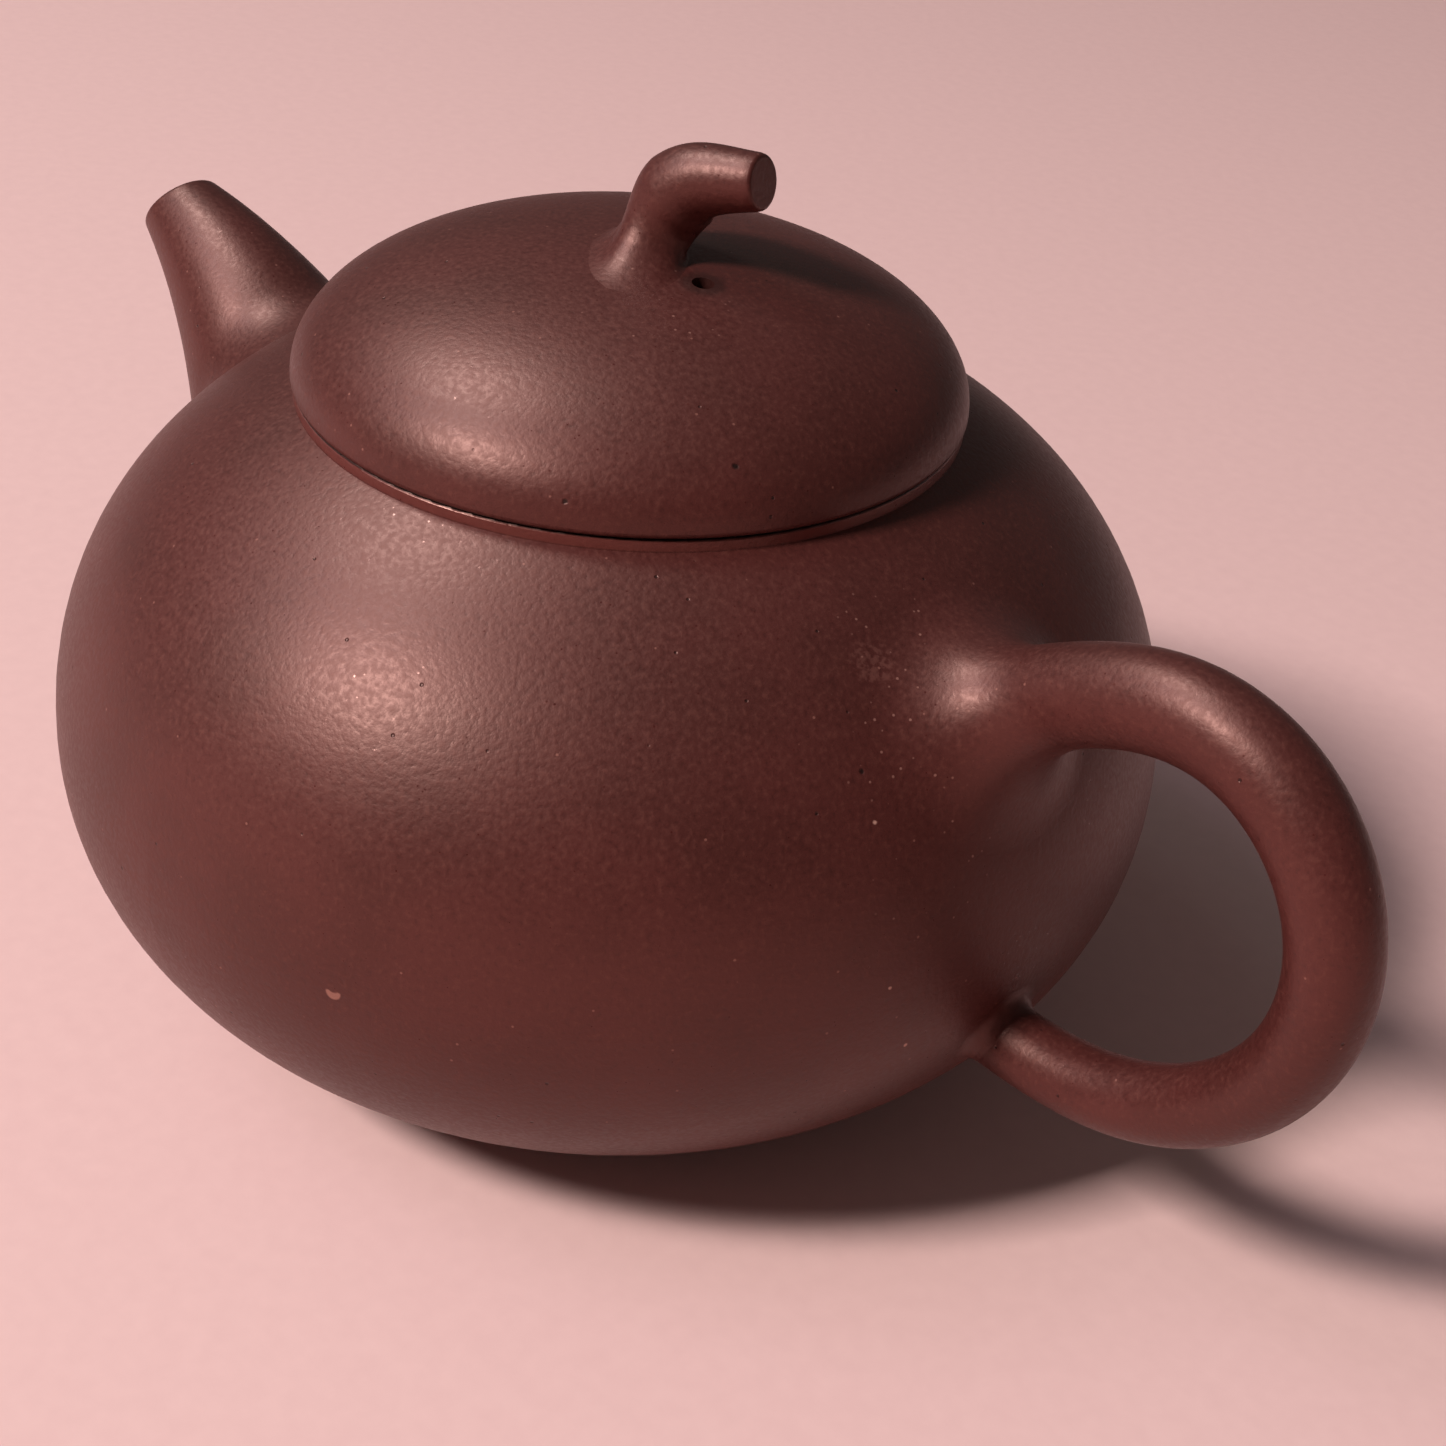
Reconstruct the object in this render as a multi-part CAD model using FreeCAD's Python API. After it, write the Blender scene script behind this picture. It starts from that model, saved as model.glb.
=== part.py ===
import FreeCAD, Part
import math
import os

from FreeCAD import Rotation, Vector

# Clay teapot: a turned belly on a dished base, with spout, handle and bent-stem lid luted on.
# Millimetres. The origin is on the pot's axis, on the surface it stands on.
# +Z is up, the handle is on +X and the spout on -X.

# Belly: two oval quarters that meet at the equator
belly_radius = 48.0
equator_height = 27.5
shoulder_rise = 34.6
belly_drop = 30.8
belly_fullness = 0.604
wall = 3.0
floor_height = 3.6

# Base disc and the ring of belly that the pot stands on
base_disc_radius = 18.0
base_dish_depth = 1.2
base_dish_fullness = 0.5
rest_edge_round = 0.8

# Mouth: the flat rim on a low lip under the lid, and the ring luted into it
rim_radius = 27.6
rim_lip = 1.1
rim_edge_round = 0.25
mouth_radius = 20.5
mouth_ring_width = 4.4
mouth_ring_depth = 4.0
mouth_edge_round = 0.6

# Spout: its axis leaves the belly straight and then bends flatter towards the tip
spout_root_height = 36.8
spout_straight = 5.4
spout_bend_length = 20.0
spout_root_slope = 45.0
spout_tip_slope = 20.5
spout_root_radius = 11.0
spout_tip_radius = 3.9
spout_swell = 0.12
spout_flare = 11.0
spout_mouth_tilt = 16.5
spout_lip_round = 0.6
bore_root_radius = 5.6
bore_tip_radius = 2.4

# Pierced ball luted inside the belly behind the spout
strainer_radius = 9.4
strainer_wall = 1.6
strainer_hole_radius = 1.2
strainer_ring_holes = 6
strainer_ring_tilt = 32.0

# Handle: an ear whose centre line is measured outwards from the belly
handle_reach = 25.2
handle_out_height = 39.6
handle_top_height = 54.8
handle_top_out = 11.3
handle_bottom_height = 19.0
handle_bottom_out = 2.5
handle_root_height = 46.7
handle_root_slope = 36.0
handle_top_radius = 4.05
handle_end_radius = 2.9
handle_top_flare = 9.5
handle_end_flare = 1.5

# Lid: a domed plate with a rounded edge, resting flat on the rim
lid_radius = 27.8
lid_edge_height = 0.5
lid_edge_width = 0.4
lid_rise = 11.6
lid_fullness = 0.565
lid_wall = 2.6
flange_clearance = 0.3
flange_wall = 2.2
flange_depth = 8.0
flange_edge_round = 0.6

# Stem: a cut stalk that leans out beside the handle, with the air hole at its foot
stem_turn = 15.0
stem_foot_out = 0.4
stem_foot_slope = 76.0
stem_end_out = 10.7
stem_height = 7.5
stem_end_slope = 11.5
stem_climb_fullness = 0.98
stem_reach_fullness = 0.63
stem_foot_radius = 4.35
stem_end_radius = 2.2
stem_swell = 0.1
stem_flare = 1.8
stem_end_round = 0.35
vent_radius = 0.9
vent_out = 8.4
vent_turn = -21.5

# Oval quarters with this fullness are true ellipses
ellipse_fullness = 0.5523

# Sections that each stretch of a drawn limb is lofted through
spout_straight_sections = 2
spout_bend_sections = 6
handle_sections = (4, 4, 5, 2)
stem_sections = 6

# How far a cutter runs past a face, how close counts as touching, the slacks tried in turn for a cut along
# a shared face, where along an edge its place is tried, and how often a search halves its span
cut_margin = 1.0
touching = 1e-3
cut_slacks = (1e-5, 1e-4, 1e-3)
edge_probes = (0.2, 0.5, 0.8)
search_halvings = 60

Z_AXIS = Vector(0, 0, 1)
Y_AXIS = Vector(0, 1, 0)
ORIGIN = Vector(0, 0, 0)


def at(out, height):
    """A point of the spout and handle plane, by its distance from the pot's axis and its height."""
    return Vector(out, 0, height)


def along(slope):
    """A direction in that plane, rising away from the pot's axis at a slope in degrees."""
    return Vector(math.cos(math.radians(slope)), 0, math.sin(math.radians(slope)))


def bezier(poles):
    curve = Part.BezierCurve()
    curve.setPoles(poles)
    return curve


def upright_quarter(start, end, fullness):
    """Oval quarter that leaves start upright and reaches end level."""
    near = at(start.x, start.z + fullness * (end.z - start.z))
    far = at(end.x + fullness * (start.x - end.x), end.z)
    return bezier([start, near, far, end])


def level_quarter(start, end, fullness):
    """Oval quarter that leaves start level and reaches end upright."""
    near = at(start.x + fullness * (end.x - start.x), start.z)
    far = at(end.x, end.z + fullness * (start.z - end.z))
    return bezier([start, near, far, end])


def line(start, end):
    return Part.LineSegment(start, end).toShape()


def turned(edges):
    """Solid of revolution about the pot's axis, with its seam on the side away from spout and handle."""
    face = Part.Face(Part.Wire(edges))
    solid = face.revolve(ORIGIN, Z_AXIS, 360)
    solid.rotate(ORIGIN, Z_AXIS, -90)
    return solid


def disc(radius, low, high):
    return Part.makeCylinder(radius, high - low, at(0, low))


def crossing(curve, wanted, axis):
    """Point of an oval quarter where one coordinate has the wanted value."""
    first, last = curve.FirstParameter, curve.LastParameter
    falls = getattr(curve.value(first), axis) > getattr(curve.value(last), axis)
    for _ in range(search_halvings):
        middle = (first + last) / 2
        if (getattr(curve.value(middle), axis) > wanted) == falls:
            first = middle
        else:
            last = middle
    return curve.value((first + last) / 2)


def ring_at(point, direction, radius):
    """Round section across a tube's centre line."""
    circle = Part.makeCircle(radius)
    circle.Placement = FreeCAD.Placement(point, Rotation(Y_AXIS, ORIGIN, direction, "ZXY"))
    return Part.Wire([circle])


def tube(stations):
    return Part.makeLoft([ring_at(*station) for station in stations], True, False)


def walk(curve, sections):
    """Evenly spaced points along a curve after its start, with the direction of travel at each."""
    first, last = curve.FirstParameter, curve.LastParameter
    places = [first + (last - first) * (step + 1) / sections for step in range(sections)]
    return [(curve.value(place), Vector(*curve.tangent(place)[0])) for place in places]


def tapered(thick, thin, swell, left):
    """Radius of a tapering limb, by the share of its length that is left to run."""
    return thin + (thick - thin) * (left * (1 - swell) + swell * left * left)


def luted(host, limb, flares):
    """The limb as it stands on its host, with its foot drawn out over the host's surface.

    flares lists (lowest height, highest height, radius) for the feet.
    """
    blended = host.fuse(limb)
    for low, high, radius in flares:
        feet = [edge for edge in blended.Edges if is_foot(edge, host, limb, low, high)]
        blended = blended.makeFillet(radius, feet)
    cuts = (blended.cut((host,), slack).Solids for slack in cut_slacks)
    pieces = next(solids for solids in cuts if 0 < sum(solid.Volume for solid in solids) < host.Volume)
    return max(pieces, key=lambda piece: piece.Volume)


def is_foot(edge, host, limb, low, high):
    """True for an edge where the limb's side leaves the host's surface."""
    places = [edge.valueAt(edge.FirstParameter + share * (edge.LastParameter - edge.FirstParameter))
              for share in edge_probes]
    if not all(low < place.z < high for place in places):
        return False
    spots = [Part.Vertex(place) for place in places]
    return all(spot.distToShape(form.Shells[0])[0] < touching for form in (host, limb) for spot in spots)


def on_circle(radius, height):
    """Picks the edges that lie on a level circle about the pot's axis."""
    def wanted(edge):
        return all(abs(vertex.Z - height) < touching
                   and abs(math.hypot(vertex.X, vertex.Y) - radius) < touching
                   for vertex in edge.Vertexes)
    return wanted


def on_plane(point, facing):
    """Picks the edges that lie on the plane through a point, square to a direction."""
    def wanted(edge):
        return all(abs((vertex.Point - point).dot(facing)) < touching for vertex in edge.Vertexes)
    return wanted


def round_edges(solid, radius, wanted):
    return solid.makeFillet(radius, [edge for edge in solid.Edges if wanted(edge)])


# The belly's own curves, which every other piece is placed by
equator = at(belly_radius, equator_height)
crown = at(0, equator_height + shoulder_rise)
shoulder_curve = upright_quarter(equator, crown, belly_fullness)
under_curve = upright_quarter(equator, at(0, equator_height - belly_drop), belly_fullness)
inner_equator = at(belly_radius - wall, equator_height)
inner_crown = at(0, crown.z - wall)
inner_floor = at(0, floor_height)
inner_shoulder_curve = upright_quarter(inner_equator, inner_crown, belly_fullness)
inner_under_curve = upright_quarter(inner_equator, inner_floor, belly_fullness)
rim_height = crossing(shoulder_curve, rim_radius, "x").z + rim_lip
mouth_joint_radius = mouth_radius + mouth_ring_width
lid_widest_height = rim_height + lid_edge_height
lid_top_height = lid_widest_height + lid_rise
flange_radius = mouth_radius - flange_clearance
flange_inner_radius = flange_radius - flange_wall
spout_length = spout_straight + spout_bend_length


def belly_surface(height):
    """Point on the outside of the belly at a height."""
    curve = shoulder_curve if height > equator_height else under_curve
    return crossing(curve, height, "z")


def inner_surface(height):
    """Point on the inside of the belly at a height."""
    curve = inner_shoulder_curve if height > equator_height else inner_under_curve
    return crossing(curve, height, "z")


def belly_form():
    """The belly's outside as a solid, closed above the mouth and cut flat underneath."""
    form = turned([shoulder_curve.toShape(), under_curve.toShape(), line(under_curve.EndPoint, crown)])
    below = disc(belly_radius, equator_height - belly_drop - cut_margin, 0)
    return form.cut(below)


def cavity_form():
    """The space for tea, as a solid."""
    axis = line(inner_floor, inner_crown)
    return turned([inner_shoulder_curve.toShape(), inner_under_curve.toShape(), axis])


def spout_place(run):
    """Point and slope of the spout's axis, by the length run outwards from the belly's surface."""
    rise = along(spout_root_slope)
    root = belly_surface(spout_root_height)
    if run <= spout_straight:
        point = root + rise * run
        return at(-point.x, point.z), spout_root_slope
    bend_radius = spout_bend_length / math.radians(spout_root_slope - spout_tip_slope)
    slope = spout_root_slope - math.degrees((run - spout_straight) / bend_radius)
    bend_start = root + rise * spout_straight
    here = along(slope)
    out = bend_start.x + bend_radius * (rise.z - here.z)
    height = bend_start.z + bend_radius * (here.x - rise.x)
    return at(-out, height), slope


def spout_tube(root_radius, tip_radius, swell, overrun):
    """Tapered tube along the spout's axis, from well inside the belly to past the tip."""
    inset = root_radius * math.tan(math.radians(spout_root_slope)) + 2 * wall
    places = [-inset, -inset / 2, 0]
    places += [spout_straight * (step + 1) / spout_straight_sections
               for step in range(spout_straight_sections)]
    places += [spout_straight + (spout_bend_length + overrun) * (step + 1) / spout_bend_sections
               for step in range(spout_bend_sections)]
    stations = []
    for run in places:
        point, slope = spout_place(run)
        left = min(1 - run / spout_length, 1)
        stations.append((point, along(180 - slope), tapered(root_radius, tip_radius, swell, left)))
    return tube(stations)


def spout_bore():
    """The passage for tea, run through the belly's wall and out at the tip."""
    return spout_tube(bore_root_radius, bore_tip_radius, 0, spout_tip_radius + cut_margin)


def make_spout(belly, bore):
    outside = spout_tube(spout_root_radius, spout_tip_radius, spout_swell, spout_tip_radius)
    tip, slope = spout_place(spout_length)
    facing = along(180 - slope - spout_mouth_tilt)
    beyond = Part.makeCylinder(spout_root_radius, spout_length, tip, facing)
    spout = luted(belly, outside.cut(beyond), [(0, rim_height, spout_flare)])
    return round_edges(spout.cut(bore), spout_lip_round, on_plane(tip, facing))


def make_strainer(cavity):
    """Pierced half ball over the wall's opening, bulging into the tea."""
    through, _ = spout_place(-wall)
    centre = at(-inner_surface(through.z).x, through.z)
    hollow = Part.makeSphere(strainer_radius - strainer_wall, centre)
    ball = Part.makeSphere(strainer_radius, centre).cut(hollow)
    shell = max(ball.common(cavity).Solids, key=lambda piece: piece.Volume)
    inwards = Vector(1, 0, 0)
    ring = [Rotation(inwards, 360 * step / strainer_ring_holes).multVec(along(strainer_ring_tilt))
            for step in range(strainer_ring_holes)]
    for direction in [inwards] + ring:
        hole = Part.makeCylinder(strainer_hole_radius, strainer_radius + cut_margin, centre, direction)
        shell = shell.cut(hole)
    return shell


def make_handle(belly):
    top = at(belly_radius + handle_top_out, handle_top_height)
    outermost = at(belly_radius + handle_reach, handle_out_height)
    bottom = at(belly_radius + handle_bottom_out, handle_bottom_height)
    root = belly_surface(handle_root_height)
    start = root - along(handle_root_slope) * wall
    reach = (top - start).Length / 3
    upper_arm = bezier([start, start + along(handle_root_slope) * reach, top - Vector(reach, 0, 0), top])
    end = at(belly_surface(handle_bottom_height).x - wall, handle_bottom_height)
    lower_arm = bezier([bottom, end])
    upper_bow = level_quarter(top, outermost, ellipse_fullness)
    lower_bow = upright_quarter(outermost, bottom, ellipse_fullness)
    places = [(start, along(handle_root_slope))]
    for stretch, sections in zip((upper_arm, upper_bow, lower_bow, lower_arm), handle_sections):
        places += walk(stretch, sections)
    runs = [0.0]
    for (here, _), (there, _) in zip(places, places[1:]):
        runs.append(runs[-1] + (there - here).Length)
    stations = [(point, direction, tapered(handle_top_radius, handle_end_radius, 0, 1 - run / runs[-1]))
                for (point, direction), run in zip(places, runs)]
    middle = (handle_root_height + handle_bottom_height) / 2
    flares = [(middle, rim_height, handle_top_flare), (0, middle, handle_end_flare)]
    return luted(belly, tube(stations), flares)


def make_belly_wall(belly, cavity, bore):
    lip = disc(rim_radius, rim_height - wall, rim_height)
    shell = belly.fuse(lip).cut(cavity)
    shell = shell.cut(disc(mouth_joint_radius, equator_height, crown.z + cut_margin))
    shell = shell.cut(disc(belly_radius, rim_height, crown.z + cut_margin))
    shell = shell.cut(disc(base_disc_radius, -cut_margin, equator_height))
    shell = shell.cut(bore)
    shell = round_edges(shell, rest_edge_round, on_circle(crossing(under_curve, 0, "z").x, 0))
    return round_edges(shell, rim_edge_round, on_circle(rim_radius, rim_height))


def make_base_disc(cavity):
    """Floor of the pot: hollowed a little underneath, so that the pot stands on the belly's ring."""
    dish = level_quarter(at(0, base_dish_depth), at(base_disc_radius, 0), base_dish_fullness)
    slab = turned([dish.toShape(), line(at(base_disc_radius, 0), at(base_disc_radius, equator_height)),
                   line(at(base_disc_radius, equator_height), at(0, equator_height)),
                   line(at(0, equator_height), at(0, base_dish_depth))])
    return slab.cut(cavity)


def make_mouth_ring():
    low = rim_height - mouth_ring_depth
    ring = disc(mouth_joint_radius, low, rim_height).cut(disc(mouth_radius, low, rim_height))
    ring = round_edges(ring, mouth_edge_round, on_circle(mouth_radius, low))
    return round_edges(ring, mouth_edge_round, on_circle(mouth_joint_radius, low))


def lid_form():
    """The lid's outside as a solid: dome, rounded edge and flat underside."""
    widest = at(lid_radius, lid_widest_height)
    seat = at(lid_radius - lid_edge_width, rim_height)
    dome = upright_quarter(widest, at(0, lid_top_height), lid_fullness)
    edge = upright_quarter(widest, seat, ellipse_fullness)
    return turned([dome.toShape(), edge.toShape(), line(seat, at(0, rim_height)),
                   line(at(0, rim_height), at(0, lid_top_height))])


def vent():
    """The air hole's cutter, straight down through the stem's foot and the lid."""
    turn = math.radians(vent_turn)
    foot = Vector(vent_out * math.cos(turn), vent_out * math.sin(turn), rim_height)
    return Part.makeCylinder(vent_radius, lid_top_height + cut_margin - rim_height, foot)


def make_lid_dome(form, air_hole):
    hollow_edge = at(flange_inner_radius, rim_height)
    hollow_top = at(0, lid_top_height - lid_wall)
    hollow = turned([upright_quarter(hollow_edge, hollow_top, lid_fullness).toShape(),
                     line(hollow_top, at(0, rim_height)), line(at(0, rim_height), hollow_edge)])
    return form.cut(hollow).cut(air_hole)


def make_lid_flange():
    low = rim_height - flange_depth
    ring = disc(flange_radius, low, rim_height).cut(disc(flange_inner_radius, low, rim_height))
    ring = round_edges(ring, flange_edge_round, on_circle(flange_radius, low))
    return round_edges(ring, flange_edge_round, on_circle(flange_inner_radius, low))


def make_lid_stem(form, air_hole):
    start = at(stem_foot_out, lid_top_height - lid_wall)
    end = at(stem_end_out, lid_top_height + stem_height)
    climb = along(stem_foot_slope) * (stem_climb_fullness * (end.z - start.z))
    run_out = along(stem_end_slope) * (stem_reach_fullness * (end.x - start.x))
    places = [(start, along(stem_foot_slope))]
    places += walk(bezier([start, start + climb, end - run_out, end]), stem_sections)
    stations = []
    for step, (point, direction) in enumerate(places):
        left = 1 - step / stem_sections
        stations.append((point, direction, tapered(stem_foot_radius, stem_end_radius, stem_swell, left)))
    stalk = round_edges(tube(stations), stem_end_round, on_plane(end, along(stem_end_slope)))
    stem = luted(form, stalk, [(rim_height, lid_top_height + stem_foot_radius, stem_flare)])
    return stem.cut(air_hole)


def main():
    os.makedirs("parts", exist_ok=True)
    belly = belly_form()
    cavity = cavity_form()
    bore = spout_bore()
    lid = lid_form()
    air_hole = vent()
    stem = make_lid_stem(lid, air_hole)
    for form in (air_hole, stem):
        form.rotate(ORIGIN, Z_AXIS, stem_turn)
    pieces = {
        "belly_wall": make_belly_wall(belly, cavity, bore),
        "base_disc": make_base_disc(cavity),
        "mouth_ring": make_mouth_ring(),
        "spout": make_spout(belly, bore),
        "spout_strainer": make_strainer(cavity),
        "handle": make_handle(belly),
        "lid_dome": make_lid_dome(lid, air_hole),
        "lid_flange": make_lid_flange(),
        "lid_stem": stem,
    }
    for node, shape in pieces.items():
        print(node, "solids", len(shape.Solids), "valid", shape.isValid(), "volume", round(shape.Volume, 2))
        shape.exportStep("parts/" + node + ".step")


main()
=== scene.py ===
import math

import bpy
from mathutils import Matrix, Vector
from mathutils.geometry import interpolate_bezier


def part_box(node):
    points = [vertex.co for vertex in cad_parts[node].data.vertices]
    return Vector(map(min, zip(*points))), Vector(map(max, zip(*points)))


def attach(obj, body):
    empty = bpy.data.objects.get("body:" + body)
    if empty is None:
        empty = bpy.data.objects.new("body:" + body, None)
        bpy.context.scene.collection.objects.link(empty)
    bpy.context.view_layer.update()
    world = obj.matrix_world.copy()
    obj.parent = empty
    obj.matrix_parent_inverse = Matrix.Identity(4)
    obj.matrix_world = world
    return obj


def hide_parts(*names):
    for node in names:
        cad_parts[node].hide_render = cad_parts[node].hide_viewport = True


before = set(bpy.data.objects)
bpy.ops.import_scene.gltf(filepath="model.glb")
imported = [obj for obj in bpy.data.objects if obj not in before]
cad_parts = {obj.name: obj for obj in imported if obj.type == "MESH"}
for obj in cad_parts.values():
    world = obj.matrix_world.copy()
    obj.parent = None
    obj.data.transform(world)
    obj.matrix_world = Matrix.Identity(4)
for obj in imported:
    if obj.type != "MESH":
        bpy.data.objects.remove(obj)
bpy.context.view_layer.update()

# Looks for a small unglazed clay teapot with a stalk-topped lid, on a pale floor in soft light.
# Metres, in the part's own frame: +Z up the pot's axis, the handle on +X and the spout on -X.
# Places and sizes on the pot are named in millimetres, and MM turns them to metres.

MM = 0.001

# The camera that sees the pot as the photograph does: degrees, with the azimuth from -Y towards +X
CAMERA_PLACE = (132.43, -125.67, 141.28)
CAMERA_AZIMUTH = 43.37
CAMERA_ELEVATION = 32.47
CAMERA_ROLL = 5.08
CAMERA_LENS = 59.97
CAMERA_SENSOR = 36.0
CAMERA_NEAREST = 1.0

# The soft lights: azimuth from +X and elevation in degrees, distance and side in metres, watts and colour
SOFTBOXES = {
    "key_softbox": (-106.0, 43.5, 1.50, 0.26, 26.0, "#FFF6F2"),
    "window_softbox": (-128.0, 50.0, 1.50, 0.60, 4.0, "#F0E8FF"),
    "gloss_card": (-164.0, 59.0, 1.50, 0.36, 15.0, "#FFF6F2"),
}
# The card shows in the sheen of the clay, and lights nothing
GLOSS_ONLY = ("gloss_card",)
SOFTBOX_AIM = (0, 0, 35)
ROOM_LIGHT = 0.10
ROOM_COLOUR = "#FFF0EC"
FLOOR_HALF_SIDE = 3.0

# Which pieces of the pot are burnished outside, and which were only scraped or cut
BURNISHED = ("belly_wall", "spout", "handle", "lid_dome")
SCRAPED = ("base_disc", "mouth_ring", "spout_strainer", "lid_flange")

# Marks of firing and use on the outside, with painted shade in the dark pits and around the air hole: places
# and radii
DARK_PITS = ((40.1, -12.9, 45.7), (23.3, -11.2, 62.8), (16.7, -21.8, 60.3))
DARK_PIT_RADIUS = 0.30
PALE_SPECKS = ((45.9, -13.6, 29.7), (46.3, -11.2, 23.2), (42.2, -13.2, 42.5))
PALE_SPECK_RADIUS = 0.22
RUBBED_PATCHES = ((35.9, -8.2, 51.1),)
RUBBED_RADIUS = 2.4
DUSTY_PLACES = ((9.0, -6.5, 69.0), (36.5, -5.0, 52.0), (40.0, -9.0, 47.0), (44.0, -9.0, 38.0))
DUST_REACH = 8.0
AIR_HOLE = (8.35, -0.95, 69.4)
# How far the painted shade around the air hole reaches
AIR_HOLE_SHADE_RADIUS = 2.6
# The chip is a crescent, a round flake less a second round a little above it
CHIP = (18.65, -44.23, 27.47)
CHIP_HORNS = (18.65, -44.23, 28.0)
CHIP_RADIUS = 0.8

# How a mark fades out, in shares of its radius, and how far its edge wanders
SPOT_CORE = 0.4
DOT_CORE = 0.5
DOT_EDGE = 1.4
EDGE_WANDER = 0.4

# How large each pattern is. The clay's sand, of about a quarter of a millimetre, is too fine to show here,
# so it is drawn nearly twice as coarse.
KILN_CLOUD = 13.0
SAND_GRAIN = 0.45
TOOL_STROKE = 0.9
STROKE_STRETCH = (0.12, 0.12, 1.0)
TORN_EDGE = 1.1
SCRAPED_CLOUD = 9.0
SCRAPED_SAND = 0.6
PAPER_FIBRE = 2.0

# How high the sand stands, the strokes and pits as shares of that, and what polish takes off the roughness
BURNISHED_RELIEF = 0.032
SCRAPED_RELIEF = 0.06
STROKE_RELIEF = 0.5
PIT_RELIEF = -1.5
GLINT_POLISH = -0.20
SEAM_POLISH = -0.10

# The seam between the rim and the lid: where it runs, and how far in and out its painted light, painted shade
# and polish reach
RIM_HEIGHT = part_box("mouth_ring")[1].z
SEAM_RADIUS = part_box("lid_dome")[1].x
SEAM_REACH = 2.5

# The lid's stem: its centre line as distance out and height over the lid's top, its turn and its thickness
STEM_TURN = math.radians(15.0)
STEM_LINE = ((0.4, -2.6), (2.79, 7.0), (4.34, 6.21), (10.7, 7.5))
STEM_FOOT_RADIUS = 4.35
STEM_END_RADIUS = 2.2
STEM_SWELL = 0.1
STEM_END_ROUND = 0.35
# The share of that line below which the foot spreads to an oval on the lid, clear of the air hole, and how
# long the spread follows the stem above and the lid below
FOOT_SHARE = 0.40
FOOT_PLACE = (2.2, -2.5)
FOOT_BEARING = math.radians(-46.0)
FOOT_LENGTH = 8.2
FOOT_WIDTH = 4.8
FOOT_SINK = 0.12
STEM_PULL = 0.40
FOOT_PULL = 0.50
STEM_SIDES = 72
STEM_STEPS = 40
ROUND_STEPS = 5
FOOT_STEPS = 20

# Settings and vectors that the shader nodes share
SMOOTH = {"interpolation_type": "SMOOTHSTEP"}
NOISE_MIDDLE = (0.5, 0.5, 0.5)
LEVEL = (1, 1, 0)


def linear(hex_colour):
    """An sRGB hex colour as the linear colour that shaders take."""
    channels = [int(hex_colour[place:place + 2], 16) / 255 for place in (1, 3, 5)]
    return [c / 12.92 if c <= 0.04045 else ((c + 0.055) / 1.055) ** 2.4 for c in channels] + [1.0]


def add(tree, kind, inputs=None, **settings):
    """Adds a shader node with its properties and its inputs, values or sockets, and gives its outputs."""
    node = tree.nodes.new("ShaderNode" + kind)
    for name, value in settings.items():
        setattr(node, name, value)
    for name, value in (inputs or {}).items():
        if isinstance(value, bpy.types.NodeSocket):
            tree.links.new(value, node.inputs[name])
        else:
            node.inputs[name].default_value = value
    return node.outputs


def per_metre(size):
    """Pattern scale whose features are about this many millimetres across."""
    return 1 / (size * MM)


def new_material(name):
    material = bpy.data.materials.new(name)
    material.use_nodes = True
    material.node_tree.nodes.clear()
    return material


def scattered(tree, place, spacing, radius, kept):
    """Mask of round dots in the clay, one in the kept share of the cells of a random net."""
    net = add(tree, "TexVoronoi", {"Vector": place, "Scale": per_metre(spacing)})
    fade = {"Value": net["Distance"], "From Min": DOT_CORE * radius / spacing,
            "From Max": DOT_EDGE * radius / spacing, "To Min": 1.0, "To Max": 0.0}
    dot = add(tree, "MapRange", fade, **SMOOTH)["Result"]
    draw = add(tree, "SeparateColor", {"Color": net["Color"]})["Red"]
    chosen = add(tree, "Math", {0: draw, 1: kept}, operation="LESS_THAN")[0]
    return add(tree, "Math", {0: dot, 1: chosen}, operation="MULTIPLY")[0]


def spots(tree, place, centres, radius):
    """Mask of single round marks at given places."""
    mask = 0.0
    for centre in centres:
        away = add(tree, "VectorMath", {0: place, 1: Vector(centre) * MM}, operation="DISTANCE")["Value"]
        fade = {"Value": away, "From Min": SPOT_CORE * radius * MM, "From Max": radius * MM,
                "To Min": 1.0, "To Max": 0.0}
        spot = add(tree, "MapRange", fade, **SMOOTH)["Result"]
        mask = add(tree, "Math", {0: spot, 1: mask}, operation="MAXIMUM")[0]
    return mask


def seam_band(tree, place, below, above, soft):
    """Mask of a level band near the lid's seam, from a height below the rim to one above it."""
    height = add(tree, "SeparateXYZ", {"Vector": place})["Z"]
    low = RIM_HEIGHT - below * MM
    high = RIM_HEIGHT + above * MM
    start = {"Value": height, "From Min": low - soft * MM, "From Max": low}
    end = {"Value": height, "From Min": high, "From Max": high + soft * MM, "To Min": 1.0, "To Max": 0.0}
    rise = add(tree, "MapRange", start, **SMOOTH)["Result"]
    fall = add(tree, "MapRange", end, **SMOOTH)["Result"]
    level = add(tree, "VectorMath", {0: place, 1: LEVEL}, operation="MULTIPLY")["Vector"]
    away = add(tree, "VectorMath", {0: level}, operation="LENGTH")["Value"]
    near = add(tree, "Math", {0: away, 1: SEAM_RADIUS, 2: SEAM_REACH * MM}, operation="COMPARE")[0]
    band = add(tree, "Math", {0: rise, 1: fall}, operation="MULTIPLY")[0]
    return add(tree, "Math", {0: band, 1: near}, operation="MULTIPLY")[0]


def layered(tree, base, layers):
    """A base colour with other tones laid over it in turn, each where its mask says."""
    colour = linear(base)
    for mask, tone in layers:
        # A colour mix has its share on socket 0, its two colours on 6 and 7, and the blend on output 2
        colour = add(tree, "Mix", {0: mask, 6: colour, 7: linear(tone)}, data_type="RGBA")[2]
    return colour


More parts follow.
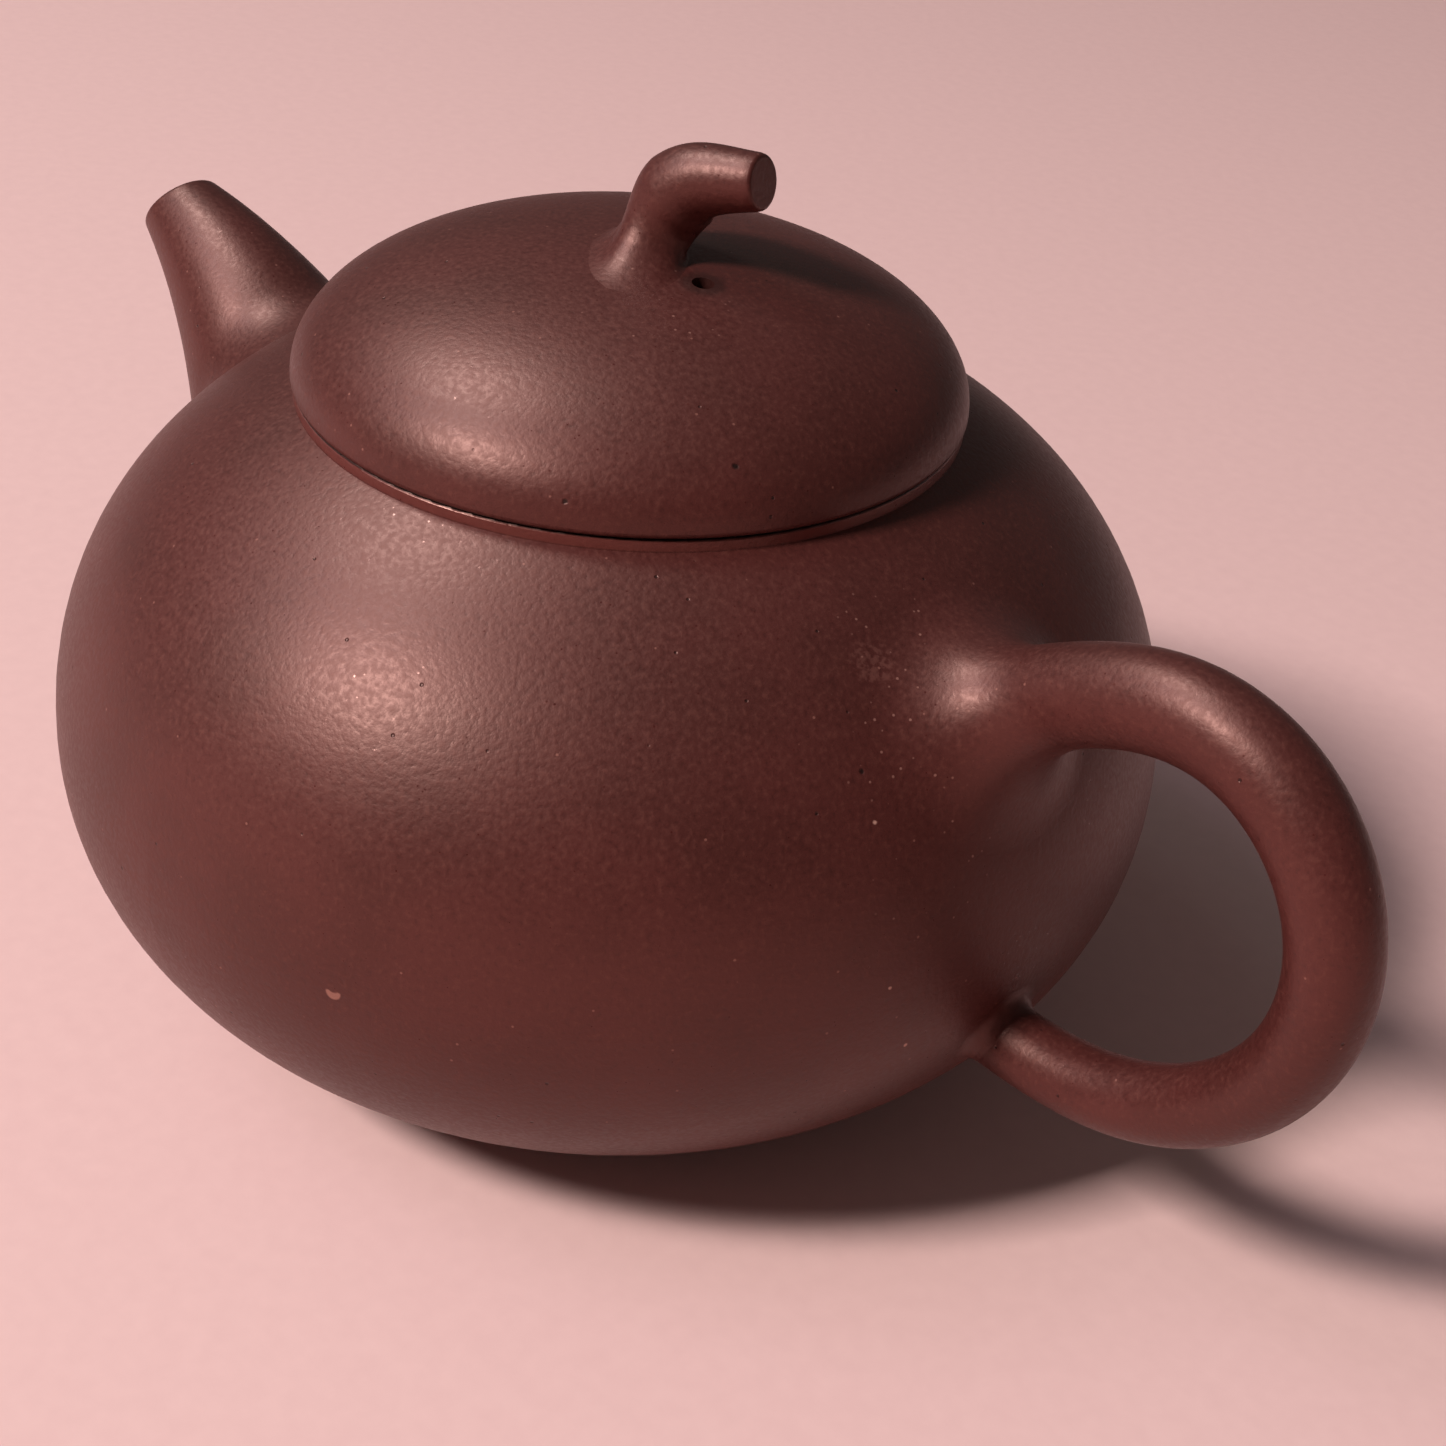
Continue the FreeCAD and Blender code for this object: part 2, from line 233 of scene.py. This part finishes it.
def burnished_clay():
    """Purple stoneware clay, unglazed, rubbed with a horn tool before firing: a satin skin, in which the
    sand shows as fine orange peel where the light catches it, with pits, pale grains and kiln clouds."""
    material = new_material("burnished_purple_clay")
    tree = material.node_tree
    place = add(tree, "TexCoord")["Object"]

    # Kiln clouds, soft patches of darker and redder clay
    clouds = add(tree, "TexNoise", {"Vector": place, "Scale": per_metre(KILN_CLOUD), "Detail": 4.0})["Fac"]
    patches = add(tree, "MapRange", {"Value": clouds, "From Min": 0.35, "From Max": 0.65}, **SMOOTH)["Result"]

    # Sand, with painted light where it stands up and painted shade between, and the long low strokes of the
    # burnishing tool
    sand = add(tree, "TexNoise", {"Vector": place, "Scale": per_metre(SAND_GRAIN), "Detail": 3.0})["Fac"]
    standing = {"Value": sand, "From Min": 0.50, "From Max": 0.78, "To Max": 0.4}
    between = {"Value": sand, "From Min": 0.26, "From Max": 0.46, "To Min": 0.35, "To Max": 0.0}
    sand_painted_light = add(tree, "MapRange", standing, **SMOOTH)["Result"]
    sand_painted_shade = add(tree, "MapRange", between, **SMOOTH)["Result"]
    lengthwise = add(tree, "VectorMath", {0: place, 1: STROKE_STRETCH}, operation="MULTIPLY")["Vector"]
    long_grain = {"Vector": lengthwise, "Scale": per_metre(TOOL_STROKE), "Detail": 2.0}
    strokes = add(tree, "TexNoise", long_grain)["Fac"]

    # Pits where grains fell out, darkened with painted shade, pale grains, mica that glints, and dust in a
    # few places
    pits_and_painted_shade = scattered(tree, place, spacing=2.3, radius=0.13, kept=0.45)
    grains = scattered(tree, place, spacing=1.9, radius=0.11, kept=0.40)
    glints = scattered(tree, place, spacing=0.55, radius=0.09, kept=0.14)
    motes = scattered(tree, place, spacing=0.75, radius=0.11, kept=0.35)
    settled = spots(tree, place, DUSTY_PLACES, DUST_REACH)
    dust = add(tree, "Math", {0: motes, 1: settled}, operation="MULTIPLY")[0]

    # Single marks with ragged edges, among them painted shade around the air hole and in the dark pits, and
    # the chip, whose edge is clean
    torn = add(tree, "TexNoise", {"Vector": place, "Scale": per_metre(TORN_EDGE), "Detail": 3.0})["Color"]
    shake = add(tree, "VectorMath", {0: torn, 1: NOISE_MIDDLE}, operation="SUBTRACT")["Vector"]
    wander = [EDGE_WANDER * MM] * 3
    shaken = add(tree, "VectorMath", {0: shake, 1: wander, 2: place}, operation="MULTIPLY_ADD")["Vector"]
    worn = add(tree, "MapRange", {"Value": sand, "From Min": 0.40, "From Max": 0.60}, **SMOOTH)["Result"]
    patch = spots(tree, shaken, RUBBED_PATCHES, RUBBED_RADIUS)
    rubbed = add(tree, "Math", {0: patch, 1: worn}, operation="MULTIPLY")[0]
    specks = spots(tree, shaken, PALE_SPECKS, PALE_SPECK_RADIUS)
    air_hole_shade = spots(tree, shaken, [AIR_HOLE], AIR_HOLE_SHADE_RADIUS)
    # Painted shade in the dark pits
    deep_pits_and_painted_shade = spots(tree, shaken, DARK_PITS, DARK_PIT_RADIUS)
    flake = spots(tree, place, [CHIP], CHIP_RADIUS)
    horns = spots(tree, place, [CHIP_HORNS], CHIP_RADIUS)
    crescent = add(tree, "Math", {0: flake, 1: horns}, operation="SUBTRACT")[0]
    chip = add(tree, "MapRange", {"Value": crescent, "From Min": 0.1, "From Max": 0.6}, **SMOOTH)["Result"]

    # The seam: a redder, lighter band of painted light on the rim's edge, which the lid has also polished,
    # and painted shade in the joint
    polish_and_painted_light = seam_band(tree, place, below=0.9, above=-0.25, soft=0.15)
    # Painted shade in the joint under the lid's edge
    painted_seam_shade = seam_band(tree, place, below=0.10, above=0.12, soft=0.12)

    # Faint marks let the clay show through, and the later ones lie over the earlier
    strengths = ((grains, 0.6), (dust, 0.6), (rubbed, 0.22), (air_hole_shade, 0.75), (polish_and_painted_light, 0.5))
    pale_grains, thin_dust, rubbed_clay, painted_air_hole_shade, painted_rim_light = (
        add(tree, "MapRange", {"Value": mask, "To Max": strength}, **SMOOTH)["Result"]
        for mask, strength in strengths)
    # Among these tones, the sand's light and dark, the dark pits, the shade around the air hole, the rim's
    # lighter band and the dark seam are painted light and shade
    colour = layered(tree, "#421D1A", (
        (patches, "#4A211E"),
        (sand_painted_light, "#5F332B"),
        (sand_painted_shade, "#2C1312"),
        (pale_grains, "#8A5B50"),
        (thin_dust, "#9A6E63"),
        (pits_and_painted_shade, "#1E0D0D"),
        (rubbed_clay, "#7A5048"),
        (specks, "#B98F80"),
        (chip, "#8A5C50"),
        (painted_air_hole_shade, "#240F0D"),
        (deep_pits_and_painted_shade, "#160A0A"),
        (painted_rim_light, "#66302A"),
        (painted_seam_shade, "#140909"),
    ))

    # Sheen and relief
    satin = {"Value": sand, "From Min": 0.30, "From Max": 0.70, "To Min": 0.40, "To Max": 0.50}
    rough = add(tree, "MapRange", satin, **SMOOTH)["Result"]
    rough = add(tree, "Math", {0: glints, 1: GLINT_POLISH, 2: rough}, operation="MULTIPLY_ADD")[0]
    rough = add(tree, "Math", {0: polish_and_painted_light, 1: SEAM_POLISH, 2: rough}, operation="MULTIPLY_ADD")[0]
    hollows = add(tree, "Math", {0: pits_and_painted_shade, 1: deep_pits_and_painted_shade}, operation="ADD")[0]
    height = add(tree, "Math", {0: strokes, 1: STROKE_RELIEF, 2: sand}, operation="MULTIPLY_ADD")[0]
    height = add(tree, "Math", {0: hollows, 1: PIT_RELIEF, 2: height}, operation="MULTIPLY_ADD")[0]
    bumps = {"Height": height, "Distance": BURNISHED_RELIEF * MM, "Strength": 1.0}
    relief = add(tree, "Bump", bumps)["Normal"]
    shader = add(tree, "BsdfPrincipled", {"Base Color": colour, "Roughness": rough, "IOR": 1.58,
                                          "Specular Tint": linear("#FFC9BC"), "Normal": relief})
    add(tree, "OutputMaterial", {"Surface": shader["BSDF"]})
    return material


def scraped_clay():
    """The same clay where a tool only cut or scraped it: duller and more open, with its sand standing out."""
    material = new_material("scraped_purple_clay")
    tree = material.node_tree
    place = add(tree, "TexCoord")["Object"]
    clouds = add(tree, "TexNoise", {"Vector": place, "Scale": per_metre(SCRAPED_CLOUD), "Detail": 4.0})["Fac"]
    patches = add(tree, "MapRange", {"Value": clouds, "From Min": 0.35, "From Max": 0.65}, **SMOOTH)["Result"]
    sand = add(tree, "TexNoise", {"Vector": place, "Scale": per_metre(SCRAPED_SAND), "Detail": 3.0})["Fac"]
    # Painted light where the sand stands up
    standing = {"Value": sand, "From Min": 0.50, "From Max": 0.75, "To Max": 0.5}
    sand_painted_light = add(tree, "MapRange", standing, **SMOOTH)["Result"]
    grains = scattered(tree, place, spacing=1.7, radius=0.14, kept=0.5)
    tones = ((patches, "#492721"), (sand_painted_light, "#613A30"), (grains, "#9A7264"))
    colour = layered(tree, "#3E211B", tones)
    bumps = {"Height": sand, "Distance": SCRAPED_RELIEF * MM, "Strength": 1.0}
    relief = add(tree, "Bump", bumps)["Normal"]
    shader = add(tree, "BsdfPrincipled", {"Base Color": colour, "Roughness": 0.68, "IOR": 1.5,
                                          "Normal": relief})
    add(tree, "OutputMaterial", {"Surface": shader["BSDF"]})
    return material


def floor_paper():
    """Matt pale paper, with a faint mottle of fibres."""
    material = new_material("matt_pale_paper")
    tree = material.node_tree
    place = add(tree, "TexCoord")["Object"]
    fibres = add(tree, "TexNoise", {"Vector": place, "Scale": per_metre(PAPER_FIBRE), "Detail": 4.0})["Fac"]
    colour = layered(tree, "#E3BCB8", [(fibres, "#EBC5C0")])
    shader = add(tree, "BsdfPrincipled", {"Base Color": colour, "Roughness": 0.9})
    add(tree, "OutputMaterial", {"Surface": shader["BSDF"]})
    return material


def finish_nodes(names, material):
    """Gives the named solids their finish."""
    for name in names:
        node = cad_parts[name]
        node.data.materials.clear()
        node.data.materials.append(material)


def stem_stations():
    """Rings of the stem from its cut end down to its foot: centre, direction and radius in millimetres."""
    out = Vector((math.cos(STEM_TURN), math.sin(STEM_TURN), 0))
    lid_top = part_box("lid_dome")[1].z / MM
    line = [out * away + Vector((0, 0, lid_top + height)) for away, height in STEM_LINE]
    places = interpolate_bezier(*line, STEM_STEPS + 1)
    end_way = (line[3] - line[2]).normalized()
    stations = []
    for step in range(ROUND_STEPS + 1):
        bend = math.pi / 2 * (1 - step / ROUND_STEPS)
        centre = places[-1] - end_way * STEM_END_ROUND * (1 - math.sin(bend))
        stations.append((centre, end_way, STEM_END_RADIUS - STEM_END_ROUND * (1 - math.cos(bend))))
    for step in range(STEM_STEPS - 1, int(FOOT_SHARE * STEM_STEPS), -1):
        left = 1 - step / STEM_STEPS
        taper = left * (1 - STEM_SWELL) + STEM_SWELL * left * left
        way = (places[step + 1] - places[step - 1]).normalized()
        stations.append((places[step], way, STEM_END_RADIUS + (STEM_FOOT_RADIUS - STEM_END_RADIUS) * taper))
    return stations


def spread_foot(corner, ring, out):
    """The run of the stem's skin from a corner of its lowest ring, outwards and down onto the lid."""
    centre, way, _ = ring
    bearing = math.atan2(out.y, out.x) - FOOT_BEARING
    reach = 1 / math.hypot(math.cos(bearing) / FOOT_LENGTH, math.sin(bearing) / FOOT_WIDTH)
    above = Vector((*FOOT_PLACE, centre.z)) + out * reach
    on_lid, touch, facing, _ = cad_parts["lid_dome"].ray_cast(above * MM, Vector((0, 0, -1)))
    if not on_lid:
        raise ValueError("the foot of the stem runs into the air hole")
    outwards = (out - facing * out.dot(facing)).normalized()
    foot = touch / MM - facing * FOOT_SINK
    span = (corner - foot).length
    return interpolate_bezier(corner, corner - way * span * STEM_PULL,
                              foot - outwards * span * FOOT_PULL, foot, FOOT_STEPS)[1:]


def stem_mesh():
    """The stem's closed skin: rows of corners from the cut end to the foot, side by side all round."""
    back = Vector((-math.cos(STEM_TURN), -math.sin(STEM_TURN), 0))
    aside = Vector((-math.sin(STEM_TURN), math.cos(STEM_TURN), 0))
    stations = stem_stations()
    corners = []
    for side in range(STEM_SIDES):
        turn = math.tau * side / STEM_SIDES
        row = [centre + (aside * math.cos(turn) + way.cross(aside) * math.sin(turn)) * radius
               for centre, way, radius in stations]
        row += spread_foot(row[-1], stations[-1], aside * math.cos(turn) + back * math.sin(turn))
        corners += [corner * MM for corner in row]
    rings = len(corners) // STEM_SIDES
    faces = []
    for side in range(STEM_SIDES):
        here = side * rings
        there = (side + 1) % STEM_SIDES * rings
        faces += [(here + step, here + step + 1, there + step + 1, there + step) for step in range(rings - 1)]
    smooth = [True] * len(faces) + [False, False]
    faces.append([side * rings for side in range(STEM_SIDES)])
    faces.append([side * rings + rings - 1 for side in reversed(range(STEM_SIDES))])
    mesh = bpy.data.meshes.new("stem")
    mesh.from_pydata(corners, [], faces)
    mesh.polygons.foreach_set("use_smooth", smooth)
    return mesh


def make_stem(material):
    """The stalk on the lid, with the clay of its root smoothed out over the lid beside the air hole."""
    stem = bpy.data.objects.new("stem", stem_mesh())
    stem.data.materials.append(material)
    bpy.context.scene.collection.objects.link(stem)
    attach(stem, "lid")
    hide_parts("lid_stem")


def lay_floor():
    side = FLOOR_HALF_SIDE
    mesh = bpy.data.meshes.new("floor")
    corners = [(-side, -side, 0), (side, -side, 0), (side, side, 0), (-side, side, 0)]
    mesh.from_pydata(corners, [], [(0, 1, 2, 3)])
    mesh.materials.append(floor_paper())
    floor = bpy.data.objects.new("floor", mesh)
    bpy.context.scene.collection.objects.link(floor)


def hang_lights():
    for name, (azimuth, elevation, distance, side, power, colour) in SOFTBOXES.items():
        light = bpy.data.lights.new(name, "AREA")
        light.shape = "SQUARE"
        light.size = side
        light.energy = power
        light.color = linear(colour)[:3]
        turn = math.radians(azimuth)
        rise = math.radians(elevation)
        towards = Vector((math.cos(rise) * math.cos(turn), math.cos(rise) * math.sin(turn), math.sin(rise)))
        lamp = bpy.data.objects.new(name, light)
        lamp.location = Vector(SOFTBOX_AIM) * MM + towards * distance
        lamp.rotation_mode = "QUATERNION"
        lamp.rotation_quaternion = towards.to_track_quat("Z", "Y")
        lamp.visible_diffuse = name not in GLOSS_ONLY
        bpy.context.scene.collection.objects.link(lamp)
    world = bpy.data.worlds.new("room")
    world.use_nodes = True
    background = world.node_tree.nodes["Background"]
    background.inputs["Color"].default_value = linear(ROOM_COLOUR)
    background.inputs["Strength"].default_value = ROOM_LIGHT
    bpy.context.scene.world = world


def place_camera():
    turn = math.radians(CAMERA_AZIMUTH)
    rise = math.radians(CAMERA_ELEVATION)
    back = Vector((math.sin(turn) * math.cos(rise), -math.cos(turn) * math.cos(rise), math.sin(rise)))
    aim = (-back).to_track_quat("-Z", "Y").to_matrix().to_4x4()
    roll = Matrix.Rotation(math.radians(CAMERA_ROLL), 4, "Z")
    data = bpy.data.cameras.new("camera")
    data.lens = CAMERA_LENS
    data.sensor_width = CAMERA_SENSOR
    data.clip_start = CAMERA_NEAREST * MM
    camera = bpy.data.objects.new("camera", data)
    camera.matrix_world = Matrix.Translation(Vector(CAMERA_PLACE) * MM) @ aim @ roll
    bpy.context.scene.collection.objects.link(camera)
    bpy.context.scene.camera = camera


burnished = burnished_clay()
finish_nodes(BURNISHED, burnished)
finish_nodes(SCRAPED, scraped_clay())
make_stem(burnished)
lay_floor()
hang_lights()
place_camera()
bpy.context.scene.view_settings.view_transform = "Standard"
